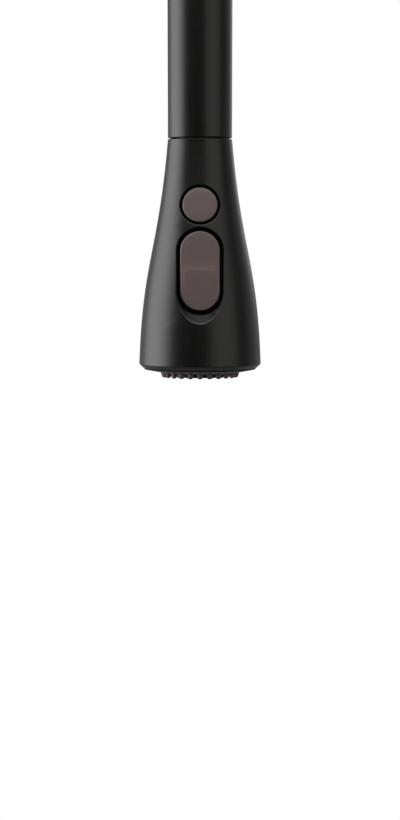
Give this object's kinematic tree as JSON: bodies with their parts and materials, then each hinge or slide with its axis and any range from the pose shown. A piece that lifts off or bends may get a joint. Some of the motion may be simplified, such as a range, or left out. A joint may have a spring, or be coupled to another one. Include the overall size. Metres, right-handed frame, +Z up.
{
  "type": "pull down kitchen faucet",
  "caption": "Matte black single-lever kitchen faucet with a swivelling gooseneck spout and a pull-down spray head with a pause button and a spray selector.",
  "frame": {"origin": "centre of the faucet's foot, in the plane of the worktop that it stands on", "axes": "+Z up; the spout reaches towards -X; the lever and the spray head's buttons face -Y"},
  "size_m": [0.2783, 0.093, 0.5926],
  "materials": {
    "matte_black": "matte black coating with a fine sparkle",
    "taupe_plastic": "satin taupe plastic",
    "taupe_silicone": "soft matte taupe silicone",
    "black_plastic": "satin moulded black plastic",
    "rubber": "matte black rubber",
    "brass": "machined brass",
    "copper": "drawn copper",
    "steel": "brushed stainless steel",
    "white_plastic": "off-white moulded plastic",
    "ceramic": "lapped ceramic",
    "braided_hose": "grey nylon braid"
  },
  "bodies": {
    "base": {"deck_gasket": "rubber", "base_ring": "matte_black", "faucet_body": "matte_black", "threaded_shank": "brass", "under_deck_seal": "rubber", "clamp_washer": "steel", "mounting_nut": "black_plastic", "mounting_screw_left": "steel", "mounting_screw_right": "steel", "hot_inlet_tube": "copper", "hot_inlet_adapter": "brass", "cold_inlet_tube": "copper", "cold_inlet_adapter": "brass", "outlet_tube": "copper", "outlet_coupling": "brass", "hose_in_body": "braided_hose", "hose_end_fitting": "brass", "spout_bush_lower": "white_plastic", "spout_bush_upper": "white_plastic", "spout_lock_screw": "steel", "cartridge_seal": "rubber", "cartridge_housing": "white_plastic", "fixed_ceramic_disc": "ceramic", "bonnet_nut": "brass", "bonnet_dome": "matte_black"},
    "temperature": {"disc_carrier": "white_plastic", "stem_pin": "steel"},
    "moving_disc": {"moving_ceramic_disc": "ceramic"},
    "lever": {"cartridge_stem": "brass", "handle_hub": "matte_black", "handle_lever": "matte_black", "handle_set_screw": "steel"},
    "spout": {"spout_tube": "matte_black", "spout_collar": "matte_black", "spout_friction_ring": "rubber", "dock_sleeve": "black_plastic", "dock_magnet": "steel", "hose_in_spout": "braided_hose"},
    "hose_end": {"hose_lead": "braided_hose", "hose_ferrule": "steel", "hose_swivel_nut": "brass"},
    "spray_head": {"head_shell": "matte_black", "head_neck": "black_plastic", "dock_keeper": "steel", "inlet_seal": "rubber", "inlet_filter": "steel", "valve_core": "black_plastic", "check_spring": "steel", "switch_plate": "black_plastic", "rocker_pin": "steel", "button_spring": "steel", "face_ring": "black_plastic", "spray_plate": "black_plastic", "nozzle_mat": "taupe_silicone", "aerator_insert": "black_plastic", "face_seal": "rubber"},
    "rocker": {"rocker_button": "taupe_plastic"},
    "round_button": {"round_button": "taupe_plastic"},
    "diverter": {"diverter_spool": "white_plastic"},
    "check_valve": {"check_poppet": "white_plastic"}
  },
  "joints": [
    {"name": "spout_swivel", "type": "hinge", "parent": "base", "child": "spout", "pos_m": [0, 0, 0.13], "axis": [0, 0, 1], "continuous": true},
    {"name": "head_pull", "type": "slide", "parent": "spout", "child": "hose_end", "axis": [0, 0, -1], "range_m": [0, 0.45], "stiffness_N_per_m": 6, "springref_m": -1, "deforming": ["hose_lead"]},
    {"name": "head_swivel", "type": "hinge", "parent": "hose_end", "child": "spray_head", "pos_m": [-0.216, 0, 0.26], "axis": [0, 0, 1], "continuous": true},
    {"name": "round_button_press", "type": "slide", "parent": "spray_head", "child": "round_button", "axis": [0, 0.9888, -0.1495], "range_m": [0, 0.0015], "stiffness_N_per_m": 600, "springref_m": -0.002},
    {"name": "rocker_tilt", "type": "hinge", "parent": "spray_head", "child": "rocker", "pos_m": [-0.216, -0.0152, 0.218], "axis": [1, 0, 0], "range_deg": [-4, 4]},
    {"name": "diverter_shift", "type": "slide", "parent": "spray_head", "child": "diverter", "axis": [0, 0, 1], "range_m": [-0.001, 0.001]},
    {"name": "check_valve_lift", "type": "slide", "parent": "spray_head", "child": "check_valve", "axis": [0, 0, -1], "range_m": [0, 0.0015], "stiffness_N_per_m": 30, "springref_m": -0.002, "deforming": ["check_spring"]},
    {"name": "handle_temperature", "type": "hinge", "parent": "base", "child": "temperature", "pos_m": [0, -0.0325, 0.072], "axis": [0, -1, 0], "range_deg": [-45, 45]},
    {"name": "handle_flow", "type": "hinge", "parent": "temperature", "child": "lever", "pos_m": [0, -0.0325, 0.072], "axis": [1, 0, 0], "range_deg": [0, 20]},
    {"name": "disc_shift", "type": "slide", "parent": "temperature", "child": "moving_disc", "axis": [0, 0, 1], "range_m": [0, 0.0019]}
  ],
  "couplings": [
    {"joint": "diverter_shift", "follows": "rocker_tilt", "m_per_rad": 0.0128},
    {"joint": "disc_shift", "follows": "handle_flow", "m_per_rad": 0.0053}
  ]
}
